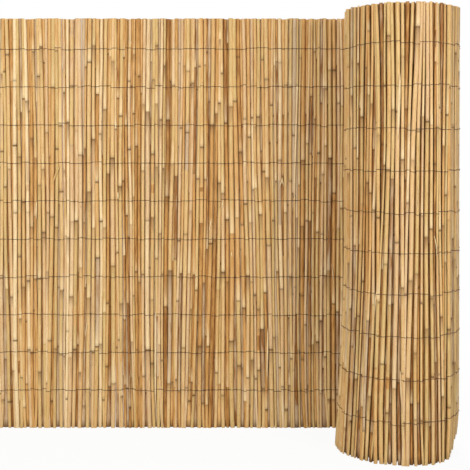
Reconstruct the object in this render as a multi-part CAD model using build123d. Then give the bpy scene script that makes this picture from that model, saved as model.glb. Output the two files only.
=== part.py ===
"""Reed screen, partly unrolled: a flat run of wire-bound reeds that ends in a roll standing on its end.

Millimetres, +Z up. X runs along the flat run towards the roll, and the screen is looked at from -Y.
The origin is on the floor, in the middle of the screen's box.

The mat is one ribbon with two coordinates: the way along it, which is 0 where the flat run meets the
roll, negative on the run and positive in the roll, and the offset from its middle, positive on the side
that faces out of the roll.
"""

from build123d import *
from itertools import pairwise
from math import ceil, cos, pi, sin, sqrt, tau
import os
import random

# Driving dimensions
screen_height = 1000.0  # length of the reeds, which stand on the floor
run_length = 1000.0  # flat run, from its free end to the roll
roll_diameter = 277.0  # over the reeds of the outermost turn
core_diameter = 90.0  # open middle of the roll
mat_thickness = 14.0  # over the thickest reeds
valley_depth = 2.8  # from the thickest reeds down to the valley between two reeds
valley_floor = 1.6  # width of the valley's bottom
reed_pitch = 9.8  # from one valley to the next
reed_jitter = 1.0  # how far a valley strays from its even place
crest_spread = 1.1  # how much lower the thinnest reeds stand
reed_flats = 4  # flats that make a reed's round side
turn_gap = 1.0  # between two turns of the roll
turn_sides = 20  # flats in one turn of the bound mat
shortest_flat = 0.1  # part of a whole flat that may stand alone at the roll's inner end
wire_rows = 10  # over the height of the reeds
wire_thickness = 1.2
wire_seat = 0.3  # clearance between a wire and the thickest reeds
wire_tail = 45.0  # length of the flat run, next to the roll, that the inner strand leaves bare
open_back = 30.0  # degrees at the end of the outermost turn that the outer strand leaves bare
bottom_margin = 93.0  # from the floor to the lowest wire row
top_margin = 75.0  # from the highest wire row to the top of the reeds
gap_edge = 0.2  # floor left on either side of a slit that light comes through
gap_margin = 14.0  # from the end of a slit to the wire row beside it
gap_spacing = 20.0  # from one slit to the next, as near as the valleys allow
reed_seed = 11  # picks the uneven widths and heights of the reeds

# Sizes that follow
half_mat = mat_thickness / 2
half_valley = half_mat - valley_depth
half_floor = valley_floor / 2
gap_width = valley_floor - 2 * gap_edge
gap_step = max(1, round(gap_spacing / reed_pitch))
turn_pitch = mat_thickness + turn_gap
start_radius = roll_diameter / 2 - half_mat
end_radius = core_diameter / 2 + half_mat
side_angle = tau / turn_sides
row_spacing = (screen_height - bottom_margin - top_margin) / (wire_rows - 1)
row_heights = [bottom_margin + row * row_spacing for row in range(wire_rows)]
shuffle = random.Random(reed_seed)


def spiral_radius(angle):
    """Radius of the mat's middle after turning by an angle from the start of the roll."""
    return start_radius - turn_pitch * angle / tau


def spiral_angle(along):
    """Angle that the mat has turned by at a length along the roll."""
    return (start_radius - sqrt(start_radius**2 - turn_pitch * along / pi)) * tau / turn_pitch


def roll_point(angle, offset):
    """Point at an angle from the start of the roll, which winds towards the viewer."""
    radius = spiral_radius(angle) + offset
    return radius * sin(angle), radius * cos(angle) - start_radius


def mat_point(along, offset):
    """Point of the mat's ribbon, on the flat run or in the roll."""
    if along <= 0:
        return along, offset
    return roll_point(spiral_angle(along), offset)


def valleys(length):
    """Places of the valleys between reeds over a length, unevenly spaced but for the two ends."""
    count = round(length / reed_pitch)
    even = [length * place / count for place in range(count + 1)]
    strays = [shuffle.uniform(-reed_jitter, reed_jitter) for _ in even[1:-1]]
    return [0.0, *(place + stray for place, stray in zip(even[1:-1], strays)), length]


def reed_side(places, side):
    """Corners of the mat on one side, 1 or -1: a round for each reed, and a floor in each valley."""
    corners = []
    for start, end in pairwise(places):
        middle = (start + end) / 2
        half_width = (end - start) / 2 - half_floor
        rise = valley_depth - shuffle.uniform(0, crest_spread)
        for flat in range(reed_flats + 1):
            turn = pi * flat / reed_flats
            along = middle - half_width * cos(turn)
            corners.append(mat_point(along, side * (half_valley + rise * sin(turn))))
    return corners


def wall(corners):
    """The mat's section, given by its corners, at the full height of the reeds."""
    return extrude(make_face(Polyline(*corners, close=True)), screen_height)


def flat_run():
    """The unrolled reeds: a wall with a round for each reed on both faces, and slits between some of them."""
    places = [place - run_length for place in valleys(run_length)]
    back = [mat_point(-run_length, 0), *reed_side(places, 1), mat_point(0, half_valley)]
    front = [*reed_side(places, -1), mat_point(0, -half_valley)]
    return wall([*back, *reversed(front)]) - slits(places)


def slits(places):
    """Light gaps through the wall, each in a valley between two wire rows."""
    length = row_spacing - 2 * gap_margin
    cutters = []
    for place in places[gap_step:-gap_step:gap_step]:
        middle = shuffle.choice(row_heights[:-1]) + row_spacing / 2
        cutters.append(Pos(place, 0, middle) * Box(gap_width, 2 * mat_thickness, length))
    return cutters


def rolled_turns():
    """The rolled mat: a spiral wall, with a round for each reed on the outside of its outermost turn."""
    turned = (start_radius - end_radius) * tau / turn_pitch
    whole_flats = ceil(turned / side_angle - shortest_flat)
    angles = [side_angle * flat for flat in range(1, whole_flats)] + [turned]
    first_turn = (start_radius - turn_pitch / 2) * tau
    outermost = [mat_point(0, half_valley), *reed_side(valleys(first_turn), 1)]
    outside = [roll_point(angle, half_mat) for angle in angles if angle > tau]
    inside = [roll_point(angle, -half_mat) for angle in reversed(angles)]
    return wall([*outermost, *outside, *inside, mat_point(0, -half_valley)])


def wire_corners(offset, end):
    """Corners of a wire's edge, from the roll along the inner face, round the free end and round the roll."""
    ring_end = tau - open_back * pi / 180
    steps = ceil(ring_end / side_angle)
    stretch = 1 / cos(ring_end / steps / 2)
    ring = []
    for step in range(steps):
        angle = (step + 0.5) * ring_end / steps
        out = (spiral_radius(angle) + offset) * stretch
        ring.append((out * sin(angle), out * cos(angle) - start_radius))
    run = [(-wire_tail, -offset), (-end, -offset), (-end, offset), (0, offset)]
    return [mat_point(*corner) for corner in run] + ring


def binding_wire():
    """One row of binding wire, laid over both faces of the mat, with its middle at height 0."""
    offset = half_mat + wire_seat
    end = run_length + wire_seat
    near = wire_corners(offset, end)
    far = wire_corners(offset + wire_thickness, end + wire_thickness)
    outline = Polyline(*near, *reversed(far), close=True)
    return Pos(0, 0, -wire_thickness / 2) * extrude(make_face(outline), wire_thickness)


pieces = {"flat_run": flat_run(), "rolled_turns": rolled_turns()}
wire = binding_wire()
for row, height in enumerate(row_heights, 1):
    pieces[f"binding_wire_{row:02d}"] = Pos(0, 0, height) * wire

box = Compound(list(pieces.values())).bounding_box()
to_origin = Pos(-box.center().X, -box.center().Y, 0)

os.makedirs("parts", exist_ok=True)
for name, piece in pieces.items():
    export_step(to_origin * piece, f"parts/{name}.step")
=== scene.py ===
"""Reed screen, dressed reed by reed over its solids, with its binding wire and a plain stage.

Metres, +Z up, in the frame of the solids: X runs along the flat run towards the roll, and the viewer looks
along +Y. The mat is one ribbon with two coordinates: the way along it, which is 0 where the flat run meets
the roll, negative on the run and positive in the roll, and the offset from its middle, positive on the side
that faces out of the roll. Thick reeds stand side by side in a row, and thin ones behind the gaps between
them. A reed's tone is its place on a scale of colours, from bleached at 0 to cream at 1.
"""

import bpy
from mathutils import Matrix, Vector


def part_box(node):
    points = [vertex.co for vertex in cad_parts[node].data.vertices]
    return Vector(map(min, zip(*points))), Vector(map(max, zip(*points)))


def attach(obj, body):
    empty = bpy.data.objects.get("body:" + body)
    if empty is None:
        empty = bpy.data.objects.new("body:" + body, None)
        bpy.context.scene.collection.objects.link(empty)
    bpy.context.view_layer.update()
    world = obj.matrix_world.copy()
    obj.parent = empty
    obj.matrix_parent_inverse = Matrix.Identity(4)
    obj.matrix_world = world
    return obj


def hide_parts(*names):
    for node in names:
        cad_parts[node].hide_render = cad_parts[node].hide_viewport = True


bl_info = {
    "name": "Reed Screen",
    "version": (1, 0, 0),
    "blender": (4, 5, 0),
    "location": "3D View > Sidebar > Reed Screen",
    "description": "Builds a partly unrolled reed screen over its solids, with a plain stage",
    "category": "Object",
}

from copy import copy
from itertools import pairwise
import math
import random
from typing import NamedTuple

import bmesh
import bpy
from bpy.props import FloatProperty, FloatVectorProperty, IntProperty, PointerProperty
from mathutils import Matrix, Vector

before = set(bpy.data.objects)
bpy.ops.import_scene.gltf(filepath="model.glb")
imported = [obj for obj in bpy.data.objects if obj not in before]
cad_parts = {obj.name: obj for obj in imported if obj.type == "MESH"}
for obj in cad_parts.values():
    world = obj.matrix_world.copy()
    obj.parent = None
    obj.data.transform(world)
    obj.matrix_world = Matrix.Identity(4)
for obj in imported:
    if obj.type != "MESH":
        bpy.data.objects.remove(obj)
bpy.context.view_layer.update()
run_low, run_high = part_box("flat_run")
wire_names = sorted(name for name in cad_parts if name.startswith("binding_wire"))
wire_heights = [sum(corner.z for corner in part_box(name)) / 2 for name in wire_names]

# Stretches of the mat, from one way along it to another
hidden_stretch = (-0.13, 0.1)  # behind the roll
sparse_stretch = (-0.24, 0.0)  # wider gaps beside the roll
brightened_stretch = (-0.2, 0.0)  # paler, evener tones beside the roll: painted light against the roll's shade
shade_start = -0.16  # from here on the thin reeds are brown, painted shade in the gaps beside the roll and round it

# How neighbouring reeds stray together, in waves whose angle grows along the mat and over the height
drift_lean = 0.006
lean_waves = (9, 23)  # angle for each metre
lean_phase = 0.8
drift_bend = 0.0018
bend_wave = 17
bend_turn = 5  # angle over the whole height

# The fan of reeds at the top of the roll: where it is, how wide, from which share of the height, how strong
fan_along = 0.427
fan_width = 0.035
fan_start = 0.75
fan_strength = 1.6

# Ends and bends of single reeds
uneven_foot = 0.001
uneven_top = 0.003
bow_size = 0.0008
bow_turn = 13  # angle over the whole height
foot_curve = 1.5  # how the splay of the feet grows towards the floor
flare_top = 0.45  # share of the height under which the roll opens
flare_curve = 1.6
squeeze_top = 0.1  # share of the height under which the roll is drawn in
squeeze_curve = 1.5
lift_start = 0.75  # how far right on the roll the reeds begin to end higher, where 1 is its right edge
lift_curve = 1.5

# Thick reeds
radius_limits = (0.6, 1.4)  # in mean radii
gap_rate = 1.2  # the higher it is, the fewer gaps are wide
least_gap = 0.2  # in mean gaps
widest_gap = 2.2
odd_gap_chance = 0.08  # of a wider gap on the run
odd_gaps = (0.002, 0.006)  # how much wider it is, at least and at most
sparse_widening = 1.6
stray_chance = 0.1  # of a reed that leans more than others and stands out of the row
stray_lean = 2.5
stray_rise = 0.0015
hidden_lean = 0.3  # share of the lean that is left behind the roll
run_foot_shade = 0.15  # most that a thick reed's foot is darkened: on the run as painted shade at the floor
# on the roll, as dirt and painted shade
roll_foot_dirt_and_shade = 0.3
# a thin reed's foot, behind a gap, is darkened almost fully as painted shade at the floor
thin_foot_shade = 0.9

# Thin reeds
gap_levels = 10  # heights, above the floor, at which a gap is measured
thinnest = 0.7  # in mean radii
hidden_widest = 3.0
gap_overlap = 0.0016  # how far a thin reed reaches behind its neighbours, unless it is at its widest
roll_depth = 7  # clearance in the roll, where that on the run is 1
closest = 0.6  # least distance of the two neighbours, as a share of their radii together
share_limits = (0.2, 0.8)  # where it may lie on the way from one neighbour to the other

# Tones
mean_tone = 0.56
tone_spread = 0.22
least_tone = 0.2  # of a thick reed
brightened_tone = 0.6  # mean tone where tones are evener, raised as painted light against the roll's shade
even_share = 0.7  # share of the spread that is left there
# tones of the thin reeds from there on, painted shade in their gaps
gap_shade_tones = (0.12, 0.17)
grey_tones = (-0.06, 0.075)
plain_tones = (0.17, 0.42)
grey_chance = 0.55
grey_gap = 0.0035  # gap past which a thin reed of the run may be grey
broken_tone = -0.2
broken_depth = 0.6  # how deep the reed behind a broken one lies, in radii
bare_tone = 0.03  # of a stretch between nodes that lost its bark
bare_chance = 0.03

# Form and marks of a whole reed
most_taper = 0.07
bore_shares = (0.55, 0.7)  # radius of the bore, in radii of the reed
foot_darkening_height = 0.022  # to which the foot is darkened, as painted shade at the floor and on the roll some dirt
first_node = (0.2, 1.0)  # in node spacings
next_node = (0.6, 1.4)
node_margin = 0.05  # least length from a node to the reed's top, and from one node's marks to the next
scar_shares = (0.25, 0.5, 0.7, 0.9, 1.0)  # strengths that a mark is picked from
stain_shares = (0.0, 0.2, 0.4, 0.8, 1.0)
wax_shares = (0.0, 0.0, 0.4, 0.8, 1.0)
scar_fade = 0.75  # least share that is left of a mark's strength
mark_fade = 0.6
stain_reach = (0.025, 0.09)  # length below a node
wax_reach = (0.03, 0.09)  # length above a node
tone_step = 0.08  # how much the tone changes from one node to the next
node_swell = 1.08
# Height from the node, radius in radii of the reed, and share of the node's dark scar
below_node = ((-0.0045, 1.0, 0.0), (-0.002, 1.04, 0.8))
above_node = ((0.002, 0.98, 0.3), (0.01, 1.0, 0.0))
sheath_chance = 0.08
sheath_margin = 0.08
sheath_lengths = (0.02, 0.06)
sheath_darkening = (0.1, 0.3)
sheath_swell = 1.05
sheath_lip = 0.01  # length at its upper end over which it thins out
sheath_edge = 0.15  # share of a dark scar

# Sides of a stem, by group of reeds
stem_sides = {"run": 12, "run_fill": 9, "turn": 12, "turn_fill": 8, "inner": 9, "inner_fill": 9}
crease_angle = 50  # degrees

# Way along the mat, lower end and upper end of each stretch that is broken out of a reed
broken_stretches = ((-0.498, 0.63, 0.746), (-0.263, 0.497, 0.606))
# Lower end and upper end of each loose strip as way along the mat and height, then its radius and tone
run_strips = (
    ((-0.5716, 0.063), (-0.5703, 0.285), 0.0026, 1.1),
    ((-0.2992, 0.122), (-0.2967, 0.244), 0.0022, 1.0),
    ((-0.822, 0.597), (-0.8026, 0.643), 0.0026, 0.42),
    ((-0.5156, 0.755), (-0.5035, 0.749), 0.0012, 1.2),
    ((-0.5156, 0.618), (-0.5035, 0.625), 0.0012, 1.2),
    ((-0.2681, 0.59), (-0.2615, 0.612), 0.0016, 1.2),
    ((-0.2591, 0.592), (-0.2622, 0.61), 0.0013, 1.2),
    ((-0.2311, 0.558), (-0.2328, 0.57), 0.0016, 1.2),
    ((-0.439, 0.482), (-0.4346, 0.512), 0.0015, 1.2),
    ((-0.3843, 0.419), (-0.3855, 0.431), 0.0015, 1.2),
    ((-0.4086, 0.538), (-0.4072, 0.553), 0.0015, 1.2),
    ((-0.6615, 0.56), (-0.662, 0.577), 0.0022, 1.2),
    ((-0.8609, 0.512), (-0.8597, 0.556), 0.0014, 1.1),
    ((-0.1362, 0.353), (-0.1411, 0.402), 0.0012, 0.9),
    ((-0.7418, 0.224), (-0.7369, 0.263), 0.0012, 0.9),
)
roll_strips = (
    ((0.428, 0.709), (0.424, 0.844), 0.003, 1.2),
    ((0.4175, 0.112), (0.4225, 0.206), 0.0024, 0.8),
    ((0.344, 0.452), (0.35, 0.497), 0.001, 1.0),
    ((0.476, 0.322), (0.472, 0.377), 0.001, 0.9),
    ((0.391, 0.552), (0.387, 0.603), 0.0011, 0.8),
)
strip_parts = 8
strip_sides = 6
strip_sink = 0.001  # how far a strip's ends lie below the thickest reeds
strip_bow = 0.0025
strip_tip = 0.25  # radius at the ends, as a share of the strip's

# Binding wire
wire_tail = 0.045  # length of the run, next to the roll, whose front has no wire
wired_share = 0.93  # of the outermost turn
stitch_lengths = (1, 1, 2, 2, 3)  # reeds that the wire may pass over before it dips between two
stitch_rise = 0.0017  # how much the stitches differ in height
stitch_slope = 0.06
dip_share = 0.25  # how near to the mat's middle the wire dips, where the reeds' own offset is 1
wire_turns = (-0.75, 0.0, 0.75)  # angles at which the wire touches a reed
sag_length = 0.15  # way along the roll over which the sag sets in
sag_start = 0.4  # share of the height from which the rows sag
sag_rise = 0.2  # share of the height over which the sag grows to its full size

# Finish of the reeds
stem_shift = (9, 5)  # how far apart in the noise, along X and Y, the stems are read
patch_spread = 0.4  # how far blotches move the tone
stem_spread = 0.1
fibre_depth = 0.45
speck_depth = 0.5

# Stage
floor_size = 12.0
shadow_white = 0.93  # share of plain white on the floor round the screen, where its shadow shows
shadow_edge = (0.7, 1.5)  # distance from the middle at which the floor goes over to plain white
sky_level = 0.24  # strength of the light from all round
# Place, target, size and power of each lamp
lamps = {
    "key_lamp": ((-1.0, -2.35, 0.95), (0.0, 0.0, 0.65), 1.0, 59.0),
    "fill_lamp": ((1.9, -1.9, 0.95), (0.3, 0.0, 0.65), 1.0, 33.0),
    "back_lamp": ((0.1, 2.4, 2.4), (0.0, 0.0, 0.7), 2.0, 80.0),
}
camera_left = 0.377  # from the joint of run and roll
camera_distance = 2.134  # from the middle of the run
camera_height = 0.695
camera_dip = 0.75  # degrees below the level line
camera_shift = -0.17
sensor_width = 36.0
lens_length = 67.0


def screen_colour(red, green, blue):
    """A colour as it shows on a screen, from 0 to 255, turned into the linear one that shaders use."""
    parts = (part / 255 for part in (red, green, blue))
    return tuple(part / 12.92 if part < 0.04045 else ((part + 0.055) / 1.055) ** 2.4 for part in parts)


def length_property(name, description, default):
    """A length that a user may change."""
    return FloatProperty(
        name=name, description=description, default=default, min=0, precision=4, unit="LENGTH"
    )


def colour_property(name, description, *screen):
    """A colour that a user may change, given as it shows on a screen."""
    default = screen_colour(*screen)
    return FloatVectorProperty(
        name=name, description=description, default=default, min=0, max=1, subtype="COLOR"
    )


class ReedSizes(bpy.types.PropertyGroup):
    """Sizes of the mat, its reeds and its wire."""

    thickness: length_property("Mat thickness", "Over the thickest reeds", 0.014)
    turn_pitch: length_property("Turn pitch", "From one turn of the roll to the next", 0.015)
    roll_radius: length_property("Roll radius", "Over the reeds where the roll starts", 0.1385)
    core_radius: length_property("Core radius", "Open middle of the roll", 0.045)
    reed_radius: length_property("Reed radius", "Mean radius of the thick reeds", 0.0041)
    reed_spread: length_property("Reed spread", "How much the thick reeds differ in radius", 0.0011)
    reed_gap: length_property("Reed gap", "Mean gap between two thick reeds", 0.0018)
    fill_radius: length_property("Fill radius", "Mean radius of the thin reeds behind the gaps", 0.0027)
    fill_spread: length_property("Fill spread", "How much the thin reeds differ in radius", 0.0006)
    fill_sink: length_property("Fill sink", "Clearance between the run's thin reeds and thick ones", 0.0003)
    node_spacing: length_property("Node spacing", "Mean length of a reed between two nodes", 0.23)
    sink: length_property("Sink", "How much deeper than others a thick reed may lie", 0.002)
    lean: length_property("Lean", "How far a reed leans to one side over its height", 0.005)
    splay: length_property("Splay", "How far a reed strays below the lowest wire", 0.002)
    bore_depth: length_property("Bore depth", "How deep the cut ends are hollow", 0.012)
    flare: length_property("Flare", "How far the roll opens at its lower left edge", 0.02)
    looseness: FloatProperty(
        name="Looseness", description="How much looser the reeds lie on the outside of the roll", default=1.7
    )
    lift: length_property("Lift", "How far above the floor the reeds end on the right of the roll", 0.055)
    squeeze: length_property("Squeeze", "How far the foot of the roll is drawn in on its right", 0.012)
    wire_radius: length_property("Wire radius", "Radius of the binding wire", 0.00075)
    roll_sag: length_property("Roll sag", "How much lower the top wire rows lie on the roll", 0.012)
    seed: IntProperty(name="Seed", description="Picks the reeds' places and uneven forms", default=23)


class ReedColours(bpy.types.PropertyGroup):
    """Colours of the reeds, the wire and the floor."""

    bleached: colour_property("Bleached", "Pale grey stretches where the bark is gone", 203, 179, 144)
    weathered: colour_property("Weathered", "Grey stretches that stood in the rain", 182, 149, 110)
    # also the colour of the painted shade in the gaps beside the roll and round it
    brown_and_gap_shade: colour_property("Brown", "Old leaf sheaths", 146, 96, 44)
    ochre: colour_property("Ochre", "Dark reeds", 203, 155, 90)
    golden: colour_property("Golden", "Ripe reeds", 219, 178, 117)
    olive: colour_property("Olive", "Reeds cut green", 211, 182, 122)
    straw: colour_property("Straw", "Plain dry reeds", 225, 190, 132)
    tan: colour_property("Tan", "Pale brown reeds", 218, 184, 138)
    cream: colour_property("Cream", "Waxy pale reeds", 240, 216, 168)
    # also the colour of the painted shade and dirt at the reeds' feet
    ring: colour_property("Node ring", "Dark scar of a leaf at a node", 98, 64, 32)
    stain: colour_property("Stain", "Brown stretch below a node", 138, 100, 62)
    pith: colour_property("Pith", "Cut ends of the reeds", 228, 198, 144)
    # darker than the pith: painted shade inside the hollow
    bore: colour_property("Bore", "Inside of the hollow reeds", 120, 88, 52)
    wire: colour_property("Wire", "Binding wire", 88, 60, 32)
    rust: colour_property("Rust", "Rusty stretches of the wire", 110, 70, 33)
    floor: colour_property("Floor", "Floor and backdrop", 250, 250, 250)
    bounce: colour_property("Bounce", "Floor as it lights the screen", 100, 100, 100)


def clamp(value, low, high):
    """The value, kept between two limits."""
    return min(max(value, low), high)


def within(along, stretch):
    """Whether a way along the mat lies inside a stretch of it."""
    start, end = stretch
    return start < along < end


def fade(value, end, curve):
    """1 at 0, going down to 0 at the end, and 0 past it."""
    return max(0.0, 1 - value / end) ** curve


def height_share(height):
    """A height as a share of the reeds' full height."""
    return (height - run_low.z) / (run_high.z - run_low.z)


def drift(along, up):
    """How far the reeds round a way along the mat stray together, at a share of the height."""
    slow, quick = lean_waves
    waves = math.sin(along * slow + lean_phase) + math.sin(along * quick)
    leaning = drift_lean * waves * (up - 0.5)
    bending = drift_bend * math.sin(along * bend_wave + up * bend_turn)
    from_fan = along - fan_along
    inside_fan = math.exp(-((from_fan / fan_width) ** 2))
    fanning = from_fan * inside_fan * fan_strength * max(0.0, up - fan_start)
    return leaning + bending + fanning


class Ribbon:
    """The mat's own coordinates, on the flat run and round the roll."""

    def __init__(self, sizes):
        self.half = sizes.thickness / 2
        self.pitch = sizes.turn_pitch
        self.start_radius = sizes.roll_radius - self.half
        self.corner = Vector((run_high.x, (run_low.y + run_high.y) / 2, 0))
        self.run_start = run_low.x - run_high.x
        self.first_turn = (self.start_radius - self.pitch / 2) * math.tau
        end_radius = sizes.core_radius + self.half
        self.roll_length = (self.start_radius**2 - end_radius**2) * math.pi / self.pitch

    def angle(self, along):
        """How far the mat has turned at a length along the roll."""
        inside = self.start_radius**2 - self.pitch * max(along, 0) / math.pi
        return (self.start_radius - math.sqrt(inside)) * math.tau / self.pitch

    def rightness(self, along):
        """1 at the right edge of the roll, 0 at its front and back, and -1 at its left edge."""
        return math.sin(self.angle(along))

    def place(self, along, offset, height):
        """Point in the frame of the solids."""
        if along <= 0:
            return self.corner + Vector((along, offset, height))
        angle = self.angle(along)
        radius = self.start_radius - self.pitch * angle / math.tau + offset
        back = radius * math.cos(angle) - self.start_radius
        return self.corner + Vector((radius * math.sin(angle), back, height))


class Span(NamedTuple):
    """A length of the mat whose reeds lie alike."""

    start: float
    end: float
    side: int  # 1 where the thick reeds face out of the roll, -1 where they face the other way
    loose: float  # how wide the gaps are and how much the reeds lean
    fine: float  # size of the thick reeds and their gaps
    widest: float  # limit of the thin reeds, in mean radii


class Reed:
    """One stem: where it stands in the mat, its radius, ends and tone, and how it leans and bends."""

    def __init__(self, sizes, along, offset, radius, chance):
        self.along = along
        self.offset = offset
        self.radius = radius
        self.low = run_low.z + chance.uniform(0, uneven_foot)
        self.high = run_high.z - chance.uniform(0, uneven_top)
        self.tone = 0.0
        self.lean = chance.gauss(0, sizes.lean)
        self.splay = chance.gauss(0, sizes.splay)
        self.bow = chance.gauss(0, bow_size)
        self.phase = chance.uniform(0, math.tau)
        self.flare = 0.0
        self.squeeze = 0.0
        # how dark the foot is painted: shade at the floor, and on the roll some dirt
        self.foot_dirt_and_shade = thin_foot_shade
        self.beside = None
        self.side = 0
        self.clearance = 0.0

    def at(self, height):
        """Way along the mat and offset from its middle at a height."""
        if self.beside:
            return self.nestled(height)
        up = height_share(height)
        bend = self.bow * math.sin(up * bow_turn + self.phase)
        along = self.along + drift(self.along, up) + self.lean * (up - 0.5) + bend
        foot = fade(height - run_low.z, wire_heights[0], foot_curve)
        opening = self.flare * fade(up, flare_top, flare_curve)
        opening -= self.squeeze * fade(up, squeeze_top, squeeze_curve)
        return along + self.splay * foot, self.offset + opening

    def nestled(self, height):
        """Where a thin reed lies at a height, behind the gap between its two neighbours and against both."""
        left, right = (Vector(near.at(height)) for near in self.beside)
        reach_left, reach_right = (near.radius + self.radius + self.clearance for near in self.beside)
        across = right - left
        across.x = max(across.x, closest * sum(near.radius for near in self.beside))
        share = (reach_left**2 - reach_right**2) / across.length_squared / 2 + 0.5
        share = clamp(share, *share_limits)
        depth = math.sqrt(max(reach_left**2 - share**2 * across.length_squared, 0.0))
        back = Vector((across.y, -across.x)).normalized() * self.side
        return tuple(left + share * across + depth * back)


def thick_row(ribbon, sizes, span, chance):
    """Thick reeds side by side over a span of the mat."""
    widths = []
    covered = 0.0
    smallest, largest = (limit * sizes.reed_radius for limit in radius_limits)
    while covered < span.end - span.start:
        radius = clamp(chance.gauss(sizes.reed_radius, sizes.reed_spread), smallest, largest) * span.fine
        gap = span.loose * sizes.reed_gap * min(chance.expovariate(gap_rate) + least_gap, widest_gap)
        if span.side < 0 and chance.random() < odd_gap_chance:
            gap += chance.uniform(*odd_gaps)
        if within(span.start + covered, sparse_stretch):
            gap *= sparse_widening
        gap *= span.fine
        widths.append((radius, gap))
        covered += 2 * radius + gap
    stretch = (span.end - span.start) / covered
    reeds = []
    edge = span.start
    for radius, gap in widths:
        width = (2 * radius + gap) * stretch
        sink = span.loose * chance.uniform(0, sizes.sink)
        offset = span.side * (ribbon.half - radius - sink)
        reed = Reed(sizes, edge + width / 2, offset, radius, chance)
        reed.lean *= span.loose
        if chance.random() < stray_chance and span.loose >= 1:
            reed.lean *= stray_lean / span.loose
            reed.offset += span.side * stray_rise
        if within(reed.along, hidden_stretch):
            reed.lean *= hidden_lean
        # darkened foot: painted shade at the floor on the run, dirt and painted shade on the roll
        reed.foot_dirt_and_shade = chance.uniform(0.0, run_foot_shade if span.side < 0 else roll_foot_dirt_and_shade)
        reed.tone = clamp(chance.gauss(mean_tone, tone_spread / max(span.loose, 1)), least_tone, 1.0)
        # thick reeds beside the roll are painted paler, as light against the roll's shade
        if within(reed.along, brightened_stretch):
            reed.tone = brightened_tone + even_share * (reed.tone - mean_tone)
        reeds.append(reed)
        edge += width
    return reeds


def fill_row(sizes, thick, span, chance):
    """Thin reeds behind the gaps of a row of thick ones, each wide enough to close its gap."""
    reeds = []
    full_height = run_high.z - run_low.z
    levels = [run_low.z + full_height * level / gap_levels for level in range(gap_levels + 1)]
    for left, right in pairwise(thick):
        gaps = [right.at(level)[0] - left.at(level)[0] - left.radius - right.radius for level in levels]
        hidden = within(left.along, hidden_stretch)
        widest = (hidden_widest if hidden else span.widest) * sizes.fill_radius
        radius = chance.gauss(sizes.fill_radius, sizes.fill_spread)
        radius = min(max(radius, thinnest * sizes.fill_radius, max(gaps) / 2 + gap_overlap), widest)
        reed = Reed(sizes, (left.along + right.along) / 2, 0.0, radius, chance)
        reed.beside = (left, right)
        reed.side = span.side
        if hidden:
            reed.clearance = -sizes.fill_sink
        elif left.along < 0:
            reed.clearance = sizes.fill_sink
        else:
            reed.clearance = sizes.fill_sink * roll_depth
        reed.low += chance.uniform(0, uneven_foot)
        # beside the roll and round it the thin reeds are painted brown as shade in the gaps
        if left.along > shade_start:
            reed.tone = chance.uniform(*gap_shade_tones)
        elif max(gaps) > grey_gap and chance.random() < grey_chance:
            reed.tone = chance.uniform(*grey_tones)
        else:
            reed.tone = chance.uniform(*plain_tones)
        reeds.append(reed)
    return reeds


def lay_mat(sizes):
    """All the reeds, by group: thick and thin ones of the run, the outermost turn and the turns inside it."""
    chance = random.Random(sizes.seed)
    ribbon = Ribbon(sizes)
    turn_end = ribbon.first_turn
    spans = {
        "run": Span(ribbon.run_start, 0, side=-1, loose=1.0, fine=1.0, widest=3.0),
        "turn": Span(0, turn_end, side=1, loose=sizes.looseness, fine=0.84, widest=1.5),
        "inner": Span(turn_end, ribbon.roll_length, side=1, loose=0.4, fine=1.0, widest=1.0),
    }
    groups = {}
    for name, span in spans.items():
        groups[name] = thick_row(ribbon, sizes, span, chance)
        groups[name + "_fill"] = fill_row(sizes, groups[name], span, chance)
    at_joint = [groups["run"][-1], groups["turn"][0]]
    groups["turn_fill"] += fill_row(sizes, at_joint, spans["turn"], chance)
    for reed in groups["turn"] + groups["turn_fill"]:
        rightness = ribbon.rightness(reed.along)
        reed.flare = sizes.flare * max(0.0, -rightness) ** 2
        reed.low += sizes.lift * max(0.0, (rightness - lift_start) / (1 - lift_start)) ** lift_curve
    for reed in groups["turn"] + groups["inner"]:
        reed.squeeze = sizes.squeeze * max(0.0, ribbon.rightness(reed.along)) ** 3
    for stretch in broken_stretches:
        break_out(groups, *stretch)
    return ribbon, groups


def break_out(groups, along, low, high):
    """Breaks a stretch out of one thick reed of the run, so that a bleached one shows behind it."""
    lower = min(groups["run"], key=lambda reed: abs(reed.along - along))
    upper = copy(lower)
    behind = copy(lower)
    lower.high = low
    upper.low = high
    behind.offset = lower.offset + lower.radius * broken_depth
    behind.tone = broken_tone
    groups["run"].insert(groups["run"].index(lower), upper)
    groups["run_fill"].append(behind)
    groups["run_fill"].sort(key=lambda reed: reed.along)


class Ring(NamedTuple):
    """One ring of a stem, with what the reed shader reads about the stem there."""

    centre: Vector
    radius: float
    tone: float
    dark: float = 0.0  # share of a dark node scar, and at the foot the share of painted shade and dirt
    bloom: float = 0.0  # share of wax, or below 0 of stain
    cut: float = 0.0  # 0 on the bark, 0.5 on a cut end and 1 in the bore


def of_kind(geom, kind):
    """The vertices, edges or faces among what an operator made."""
    return [item for item in geom if isinstance(item, kind)]


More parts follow.
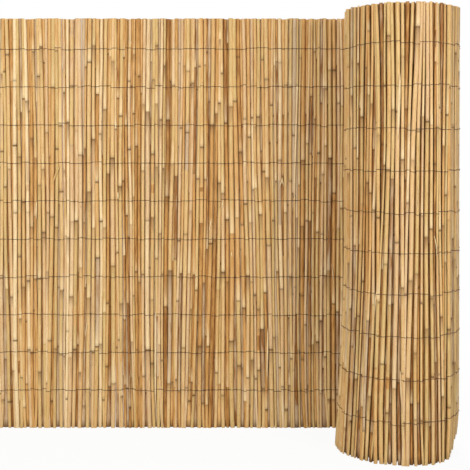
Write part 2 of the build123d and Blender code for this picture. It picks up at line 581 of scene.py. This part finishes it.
class StemMesh:
    """A mesh that reeds are gathered in."""

    def __init__(self):
        self.whole = bmesh.new()
        self.single = bpy.data.meshes.new("single_stem")

    def grow(self, rings, sides, stem):
        """Adds a closed stem through rings, with the number from 0 to 1 that tells it from others."""
        bm = bmesh.new()
        layers = {name: bm.faces.layers.float.new(name) for name in ("tone", "stem", "cut")}
        # node scars, and at the feet painted shade with some dirt
        scar_shade_and_dirt_layer = bm.verts.layers.float.new("ring")
        bloom_layer = bm.verts.layers.float.new("bloom")

        def paint(faces, ring):
            for face in faces:
                face[layers["tone"]] = ring.tone
                face[layers["stem"]] = stem
                face[layers["cut"]] = ring.cut
                face.smooth = True

        first = rings[0]
        place = Matrix.Translation(first.centre)
        bmesh.ops.create_circle(bm, segments=sides, radius=first.radius, cap_ends=True, matrix=place)
        edges = list(bm.edges)
        paint(bm.faces, first)
        for below, above in pairwise(rings):
            geom = bmesh.ops.extrude_edge_only(bm, edges=edges)["geom"]
            verts = of_kind(geom, bmesh.types.BMVert)
            edges = of_kind(geom, bmesh.types.BMEdge)
            ratio = above.radius / below.radius
            shift = Matrix.Translation(above.centre) @ Matrix.Diagonal((ratio, ratio, 1, 1))
            bmesh.ops.transform(bm, matrix=shift @ Matrix.Translation(-below.centre), verts=verts)
            paint(of_kind(geom, bmesh.types.BMFace), above)
            for vert in verts:
                vert[scar_shade_and_dirt_layer] = above.dark
                vert[bloom_layer] = above.bloom
        paint(bmesh.ops.contextual_create(bm, geom=edges)["faces"], first)
        bmesh.ops.recalc_face_normals(bm, faces=bm.faces)
        bm.to_mesh(self.single)
        bm.free()
        self.whole.from_mesh(self.single)

    def piece(self, name, material):
        """The gathered stems as an object at the origin."""
        mesh = bpy.data.meshes.new(name)
        self.whole.to_mesh(mesh)
        self.whole.free()
        bpy.data.meshes.remove(self.single)
        mesh.set_sharp_from_angle(angle=math.radians(crease_angle))
        mesh.materials.append(material)
        return new_object(name, mesh)


def new_object(name, data):
    """An object in the scene, for a mesh, a curve, a lamp or a camera."""
    thing = bpy.data.objects.new(name, data)
    bpy.context.scene.collection.objects.link(thing)
    return thing


def mark(chance, shares, most_faded):
    """How strong a mark at a node is."""
    return chance.choice(shares) * chance.uniform(most_faded, 1.0)


def grow_whole(stems, ribbon, sizes, reed, sides, chance):
    """A reed with its nodes, leaf sheaths and hollow cut ends."""
    stem = chance.random()
    taper = chance.uniform(-most_taper, most_taper)
    tone = reed.tone
    rings = []

    def ring(height, swell=1.0, dark=0.0, bloom=0.0, cut=0.0):
        up = (height - reed.low) / (reed.high - reed.low)
        radius = reed.radius * (1 + taper * (0.5 - up)) * swell
        centre = ribbon.place(*reed.at(height), height)
        rings.append(Ring(centre, radius, tone, dark, bloom, cut))

    bore = chance.uniform(*bore_shares)
    ring(reed.low + sizes.bore_depth, bore, cut=1.0)
    ring(reed.low, bore, cut=1.0)
    # foot darkened towards the floor: painted shade, with some dirt on the roll
    ring(reed.low, dark=reed.foot_dirt_and_shade, cut=0.5)
    height = reed.low + foot_darkening_height
    ring(height)
    node = reed.low + chance.uniform(*first_node) * sizes.node_spacing
    while node < reed.high - node_margin:
        dark = mark(chance, scar_shares, scar_fade)
        stain = mark(chance, stain_shares, mark_fade)
        wax = mark(chance, wax_shares, mark_fade)
        ring((height + node) / 2)
        ring(max(node - chance.uniform(*stain_reach), (height + 2 * node) / 3))
        for rise, swell, share in below_node:
            ring(node + rise, swell, dark * share, -stain)
        ring(node, node_swell, dark)
        if chance.random() > bare_chance:
            tone = max(reed.tone + chance.gauss(0, tone_step), min(reed.tone, least_tone))
        else:
            tone = bare_tone
        for rise, swell, share in above_node:
            ring(node + rise, swell, dark * share, wax)
        height = node + min(chance.uniform(*wax_reach), (reed.high - node) / 2)
        ring(height)
        if chance.random() < sheath_chance and height < reed.high - sheath_margin:
            height += chance.uniform(*sheath_lengths)
            tone_above = tone
            tone = max(tone - chance.uniform(*sheath_darkening), min(tone, least_tone))
            ring(height - sheath_lip, sheath_swell)
            tone = tone_above
            ring(height, dark=sheath_edge)
        node = max(node + chance.uniform(*next_node) * sizes.node_spacing, height + node_margin)
    ring((height + reed.high) / 2)
    ring(reed.high)
    ring(reed.high, bore, cut=0.5)
    ring(reed.high - sizes.bore_depth, bore, cut=1.0)
    stems.grow(rings, sides, stem)


def grow_hidden(stems, ribbon, sizes, reed, sides, chance):
    """A plain hollow reed, for the turns inside the roll."""
    bore = chance.uniform(*bore_shares)
    profile = (
        (reed.low + sizes.bore_depth, bore, 1.0),
        (reed.low, bore, 1.0),
        (reed.low, 1.0, 0.5),
        (reed.high, 1.0, 0.0),
        (reed.high, bore, 0.5),
        (reed.high - sizes.bore_depth, bore, 1.0),
    )
    rings = []
    for height, swell, cut in profile:
        centre = ribbon.place(*reed.at(height), height)
        rings.append(Ring(centre, reed.radius * swell, reed.tone, cut=cut))
    stems.grow(rings, sides, chance.random())


def grow_strip(stems, ribbon, side, low, high, radius, tone, stem):
    """A loose strip that lies over the reeds, bowed away from them and pointed at both ends."""
    rings = []
    for part in range(strip_parts + 1):
        share = part / strip_parts
        bulge = math.sin(math.pi * share)
        along = low[0] + (high[0] - low[0]) * share
        height = low[1] + (high[1] - low[1]) * share
        centre = ribbon.place(along, side * (ribbon.half - strip_sink + strip_bow * bulge), height)
        rings.append(Ring(centre, radius * (strip_tip + (1 - strip_tip) * bulge**0.5), tone))
    stems.grow(rings, strip_sides, stem)


class Shade:
    """A socket of a material's nodes, so that shader maths is written as sums and products."""

    def __init__(self, tree, socket=None):
        self.tree = tree
        self.socket = socket

    def node(self, kind, settings=None, inputs=None, output=0):
        """Adds a node with its settings and its sockets' values or links, and gives one of its outputs."""
        node = self.tree.nodes.new(kind)
        for name, value in (settings or {}).items():
            if name == "stops":
                fill_ramp(node.color_ramp, value)
            else:
                setattr(node, name, value)
        for name, value in (inputs or {}).items():
            if isinstance(value, Shade):
                self.tree.links.new(value.socket, node.inputs[name])
            else:
                node.inputs[name].default_value = value
        return Shade(self.tree, node.outputs[output]) if node.outputs else node

    def maths(self, operation, first, second):
        """A sum, product or the like of two values."""
        return self.node("ShaderNodeMath", {"operation": operation}, {0: first, 1: second})

    def __add__(self, other):
        return self.maths("ADD", self, other)

    def __radd__(self, other):
        return self.maths("ADD", other, self)

    def __sub__(self, other):
        return self.maths("SUBTRACT", self, other)

    def __rsub__(self, other):
        return self.maths("SUBTRACT", other, self)

    def __mul__(self, other):
        return self.maths("MULTIPLY", self, other)

    def __rmul__(self, other):
        return self.maths("MULTIPLY", other, self)

    def between(self, low, high):
        """0 below the low value, 1 above the high one, and smooth between them."""
        settings = {"interpolation_type": "SMOOTHSTEP"}
        return self.node("ShaderNodeMapRange", settings, {"Value": self, "From Min": low, "From Max": high})

    def mix(self, first, second, blend="MIX"):
        """Goes from the first colour to the second with this value."""
        settings = {"data_type": "RGBA", "blend_type": blend}
        return self.node("ShaderNodeMix", settings, {0: self, 6: first, 7: second}, output=2)

    def attribute(self, name):
        """A value that the mesh carries."""
        return self.node("ShaderNodeAttribute", {"attribute_name": name}, output="Fac")

    def vector(self, operation, first, second):
        """A sum, product or the like of two vectors."""
        return self.node("ShaderNodeVectorMath", {"operation": operation}, {0: first, 1: second})

    def noise(self, place, scale, detail):
        """Soft random blotches."""
        inputs = {"Vector": place, "Scale": scale, "Detail": detail}
        return self.node("ShaderNodeTexNoise", None, inputs, output="Fac")

    def grain(self, place, rise, scale, detail):
        """Noise drawn out along the reeds: the smaller the rise, the longer it is."""
        return self.noise(self.vector("MULTIPLY", place, (1.0, 1.0, rise)), scale, detail)


def fill_ramp(ramp, stops):
    """Sets a ramp's places and colours."""
    while len(ramp.elements) < len(stops):
        ramp.elements.new(1.0)
    for element, (place, colour) in zip(ramp.elements, stops):
        element.position = place
        element.color = colour


def solid(colour):
    """A colour with full alpha."""
    return (*colour, 1.0)


def new_material(name):
    """A material without nodes, and the shade that adds them."""
    material = bpy.data.materials.new(name)
    material.use_nodes = True
    material.node_tree.nodes.clear()
    return material, Shade(material.node_tree)


def finish_with(shade, inputs):
    """Ends a material in a principled shader with these sockets."""
    surface = shade.node("ShaderNodeBsdfPrincipled", None, inputs)
    shade.node("ShaderNodeOutputMaterial", None, {"Surface": surface})


def reed_finish(colours):
    """Dry cane: a tone for each stretch between nodes, fibres, blotches, specks, node rings, feet darkened by
    painted shade and dirt, and pale cuts with bores painted dark as shade.
    """
    material, shade = new_material("dry_reed")
    stem = shade.attribute("stem")
    tone = shade.attribute("tone")
    ring = shade.attribute("ring")
    bloom = shade.attribute("bloom")
    cut = shade.attribute("cut")
    apart = shade.node("ShaderNodeCombineXYZ", None, {0: stem * stem_shift[0], 1: stem * stem_shift[1]})
    place = shade.vector("ADD", shade.node("ShaderNodeTexCoord", output="Object"), apart)
    fibres = shade.grain(place, rise=0.03, scale=1100.0, detail=3.0)
    patches = shade.grain(place, rise=0.12, scale=160.0, detail=3.0)
    specks = shade.grain(place, rise=0.5, scale=520.0, detail=1.0)
    scale = [
        (0.0, solid(colours.bleached)),
        (0.07, solid(colours.weathered)),
        (0.14, solid(colours.brown_and_gap_shade)),
        (0.26, solid(colours.ochre)),
        (0.4, solid(colours.golden)),
        (0.52, solid(colours.olive)),
        (0.64, solid(colours.straw)),
        (0.76, solid(colours.tan)),
        (0.95, solid(colours.cream)),
    ]
    spread = tone + (patches - 0.5) * patch_spread + (stem - 0.5) * stem_spread
    bark = shade.node("ShaderNodeValToRGB", {"stops": scale}, {"Fac": spread})
    bark = (fibres.between(0.4, 0.7) * fibre_depth).mix(bark, solid(colours.ochre), "MULTIPLY")
    bark = (specks.between(0.66, 0.74) * speck_depth).mix(bark, solid(colours.brown_and_gap_shade), "MULTIPLY")
    stained = shade.maths("MAXIMUM", 0.0 - bloom, 0.0) * (0.35 + patches * 0.8)
    waxy = shade.maths("MAXIMUM", bloom, 0.0) * (0.3 + patches * 0.8)
    bark = stained.mix(bark, solid(colours.stain))
    bark = waxy.mix(bark, solid(colours.cream))
    # node scars, and at the feet painted shade and dirt, in the scar colour
    bark = ring.mix(bark, solid(colours.ring))
    # cut ends pale, the bores painted dark as shade in the hollow
    ends = cut.between(0.6, 0.9).mix(solid(colours.pith), solid(colours.bore))
    colour = cut.between(0.1, 0.4).mix(bark, ends)
    roughness = 0.34 + fibres * 0.2 + cut * 0.3
    relief = fibres * 0.6 + patches * 0.4
    bump = shade.node("ShaderNodeBump", None, {"Strength": 0.25, "Distance": 0.0006, "Height": relief})
    sockets = {"Base Color": colour, "Roughness": roughness, "Normal": bump, "Specular IOR Level": 0.12}
    finish_with(shade, sockets)
    return material


def wire_finish(colours):
    """Dull dark steel wire with rusty stretches."""
    material, shade = new_material("binding_wire")
    place = shade.node("ShaderNodeTexCoord", output="Object")
    rusty = shade.noise(place, scale=60.0, detail=3.0).between(0.4, 0.65)
    grains = shade.noise(place, scale=2200.0, detail=2.0)
    colour = rusty.mix(solid(colours.wire), solid(colours.rust))
    roughness = 0.45 + rusty * 0.25
    metal = 0.4 - rusty * 0.3
    bump = shade.node("ShaderNodeBump", None, {"Strength": 0.3, "Distance": 0.0002, "Height": grains})
    finish_with(shade, {"Base Color": colour, "Roughness": roughness, "Metallic": metal, "Normal": bump})
    return material


def seen_directly(shade):
    """1 where the camera looks at the surface, straight or by way of gloss or glass."""
    seen = shade.node("ShaderNodeLightPath", output="Is Camera Ray")
    for ray in ("Is Glossy Ray", "Is Transmission Ray"):
        seen = shade.maths("MAXIMUM", seen, shade.node("ShaderNodeLightPath", output=ray))
    return seen


def floor_finish(colours):
    """Pale floor that looks white and keeps a soft shadow."""
    material, shade = new_material("pale_floor")
    seen = seen_directly(shade)
    colour = seen.mix(solid(colours.bounce), solid(colours.floor))
    lit = shade.node("ShaderNodeBsdfDiffuse", None, {"Color": colour})
    white = shade.node("ShaderNodeEmission", None, {"Color": (1, 1, 1, 1), "Strength": 1.0})
    place = shade.node("ShaderNodeTexCoord", output="Object")
    away = shade.node("ShaderNodeVectorMath", {"operation": "LENGTH"}, {0: place}, output="Value")
    share = shadow_white + away.between(*shadow_edge) * (1 - shadow_white)
    surface = shade.node("ShaderNodeMixShader", None, {0: seen * share, 1: lit, 2: white})
    shade.node("ShaderNodeOutputMaterial", None, {"Surface": surface})
    return material


def dress(piece, slot, *nodes):
    """Fixes a finished piece to the screen, in the place of its solids."""
    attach(piece, "root")
    if nodes:
        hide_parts(*nodes)


class REED_OT_run(bpy.types.Operator):
    """Builds the reeds of the flat run"""

    bl_idname = "reed.run"
    bl_label = "Flat run"

    def execute(self, context):
        sizes = context.scene.reed_sizes
        ribbon, groups = lay_mat(sizes)
        chance = random.Random(sizes.seed + 1)
        stems = StemMesh()
        for name in ("run", "run_fill"):
            for reed in groups[name]:
                grow_whole(stems, ribbon, sizes, reed, stem_sides[name], chance)
        piece = stems.piece("run_reeds", reed_finish(context.scene.reed_colours))
        dress(piece, "reed", "flat_run")
        return {"FINISHED"}


class REED_OT_roll(bpy.types.Operator):
    """Builds the reeds of the roll, with the finish of the flat run"""

    bl_idname = "reed.roll"
    bl_label = "Roll"

    def execute(self, context):
        sizes = context.scene.reed_sizes
        ribbon, groups = lay_mat(sizes)
        chance = random.Random(sizes.seed + 2)
        stems = StemMesh()
        for name in ("turn", "turn_fill"):
            for reed in groups[name]:
                grow_whole(stems, ribbon, sizes, reed, stem_sides[name], chance)
        for name in ("inner", "inner_fill"):
            for reed in groups[name]:
                grow_hidden(stems, ribbon, sizes, reed, stem_sides[name], chance)
        piece = stems.piece("roll_reeds", bpy.data.materials["dry_reed"])
        dress(piece, "reed", "rolled_turns")
        return {"FINISHED"}


class REED_OT_strips(bpy.types.Operator):
    """Builds the loose strips of cane that lie over the reeds, with the finish of the flat run"""

    bl_idname = "reed.strips"
    bl_label = "Loose strips"

    def execute(self, context):
        sizes = context.scene.reed_sizes
        ribbon = Ribbon(sizes)
        chance = random.Random(sizes.seed + 4)
        stems = StemMesh()
        for side, strips in ((-1, run_strips), (1, roll_strips)):
            for low, high, radius, tone in strips:
                grow_strip(stems, ribbon, side, low, high, radius, tone, chance.random())
        piece = stems.piece("loose_strips", bpy.data.materials["dry_reed"])
        dress(piece, "reed")
        return {"FINISHED"}


def strand(sizes, reeds, side, height, chance):
    """Places of a wire that lies over a row of reeds, and dips into a gap after each few of them."""
    places = []
    left_in_stitch = 0
    for reed in reeds:
        if not reed.low < height < reed.high:
            continue
        along, offset = reed.at(height)
        if left_in_stitch == 0:
            left_in_stitch = chance.choice(stitch_lengths)
            rise = chance.gauss(0, stitch_rise)
            slope = chance.gauss(0, stitch_slope)
            dip_along = along - (reed.radius + sizes.reed_gap / 2)
            places.append((dip_along, offset * dip_share, height + rise / 2))
        left_in_stitch -= 1
        reach = reed.radius + sizes.wire_radius
        for turn in wire_turns:
            shift = reach * math.sin(turn)
            out = side * reach * math.cos(turn)
            places.append((along + shift, offset + out, height + (rise + slope * shift)))
    return places


def sagged(sizes, along, height):
    """Height of a wire row, which lies lower on the upper part of the roll."""
    onto_roll = clamp(along / sag_length, 0.0, 1.0)
    upper = clamp((height_share(height) - sag_start) / sag_rise, 0.0, 1.0)
    return height - sizes.roll_sag * onto_roll * upper


def wire_mesh(context, name, points, radius):
    """A round wire through points."""
    curve = bpy.data.curves.new(name, "CURVE")
    curve.dimensions = "3D"
    curve.bevel_depth = radius
    curve.bevel_resolution = 1
    curve.use_fill_caps = True
    spline = curve.splines.new("POLY")
    spline.points.add(len(points) - 1)
    for corner, point in zip(spline.points, points):
        corner.co = (*point, 1.0)
    route = new_object(name + "_route", curve)
    mesh = bpy.data.meshes.new_from_object(route.evaluated_get(context.evaluated_depsgraph_get()))
    bpy.data.objects.remove(route)
    mesh.materials.clear()
    return mesh


class REED_OT_wires(bpy.types.Operator):
    """Builds the rows of binding wire"""

    bl_idname = "reed.wires"
    bl_label = "Binding wires"

    def execute(self, context):
        sizes = context.scene.reed_sizes
        ribbon, groups = lay_mat(sizes)
        chance = random.Random(sizes.seed + 3)
        finish = wire_finish(context.scene.reed_colours)
        front = [reed for reed in reversed(groups["run"]) if reed.along < -wire_tail]
        round_roll = [reed for reed in groups["turn"] if reed.along < ribbon.first_turn * wired_share]
        for name, height in zip(wire_names, wire_heights):
            places = strand(sizes, front, -1, height, chance)
            places += strand(sizes, groups["run_fill"], 1, height, chance)
            places += strand(sizes, round_roll, 1, height, chance)
            points = [
                ribbon.place(along, offset, sagged(sizes, along, level)) for along, offset, level in places
            ]
            mesh = wire_mesh(context, name, points, sizes.wire_radius)
            mesh.materials.append(finish)
            piece = new_object(name.replace("binding_wire", "wire_row"), mesh)
            dress(piece, "wire", name)
        return {"FINISHED"}


def add_floor(colours):
    """The floor, which is also the backdrop."""
    bm = bmesh.new()
    bmesh.ops.create_grid(bm, x_segments=1, y_segments=1, size=floor_size)
    mesh = bpy.data.meshes.new("floor")
    bm.to_mesh(mesh)
    bm.free()
    mesh.materials.append(floor_finish(colours))
    floor = new_object("floor", mesh)


def add_sky(scene):
    """Even light from all round, which looks white."""
    world = bpy.data.worlds.new("studio")
    scene.world = world
    world.use_nodes = True
    world.node_tree.nodes.clear()
    shade = Shade(world.node_tree)
    strength = sky_level + seen_directly(shade) * (1 - sky_level)
    sky = shade.node("ShaderNodeBackground", None, {"Color": (1, 1, 1, 1), "Strength": strength})
    shade.node("ShaderNodeOutputWorld", None, {"Surface": sky})


def add_lamp(name, place, target, size, power):
    """A soft square lamp that points at a target."""
    lamp = bpy.data.lights.new(name, "AREA")
    lamp.size = size
    lamp.energy = power
    holder = new_object(name, lamp)
    holder.location = place
    holder.rotation_euler = (Vector(target) - Vector(place)).to_track_quat("-Z", "Y").to_euler()
    holder.visible_camera = False


def add_camera(scene):
    """The camera, in front of the screen and nearly level."""
    lens = bpy.data.cameras.new("camera")
    lens.sensor_width = sensor_width
    lens.lens = lens_length
    lens.shift_y = camera_shift
    camera = new_object("camera", lens)
    run_middle = (run_low.y + run_high.y) / 2
    camera.location = (run_high.x - camera_left, run_middle - camera_distance, camera_height)
    camera.rotation_euler = (math.radians(90 - camera_dip), 0, 0)
    scene.camera = camera


class REED_OT_stage(bpy.types.Operator):
    """Sets up the floor, the light and the camera"""

    bl_idname = "reed.stage"
    bl_label = "Stage"

    def execute(self, context):
        scene = context.scene
        scene.view_settings.view_transform = "Standard"
        add_floor(scene.reed_colours)
        add_sky(scene)
        for name, lamp in lamps.items():
            add_lamp(name, *lamp)
        add_camera(scene)
        return {"FINISHED"}


build_steps = (REED_OT_run, REED_OT_roll, REED_OT_strips, REED_OT_wires, REED_OT_stage)


class REED_PT_panel(bpy.types.Panel):
    """Lists the screen's sizes, its colours and the steps that build it"""

    bl_idname = "REED_PT_panel"
    bl_label = "Reed Screen"
    bl_space_type = "VIEW_3D"
    bl_region_type = "UI"
    bl_category = "Reed Screen"

    def draw(self, context):
        for group in (context.scene.reed_sizes, context.scene.reed_colours):
            for name in group.bl_rna.properties.keys():
                if name not in ("rna_type", "name"):
                    self.layout.prop(group, name)
        for step in build_steps:
            self.layout.operator(step.bl_idname)


classes = (ReedSizes, ReedColours, *build_steps, REED_PT_panel)


def register():
    """Makes the classes and their settings known to Blender."""
    for one in classes:
        bpy.utils.register_class(one)
    bpy.types.Scene.reed_sizes = PointerProperty(type=ReedSizes)
    bpy.types.Scene.reed_colours = PointerProperty(type=ReedColours)


def unregister():
    """Takes them away again."""
    del bpy.types.Scene.reed_colours
    del bpy.types.Scene.reed_sizes
    for one in reversed(classes):
        bpy.utils.unregister_class(one)


def main():
    """Builds the screen and its stage."""
    register()
    bpy.ops.reed.run()
    bpy.ops.reed.roll()
    bpy.ops.reed.strips()
    bpy.ops.reed.wires()
    bpy.ops.reed.stage()


if __name__ == "__main__":
    main()
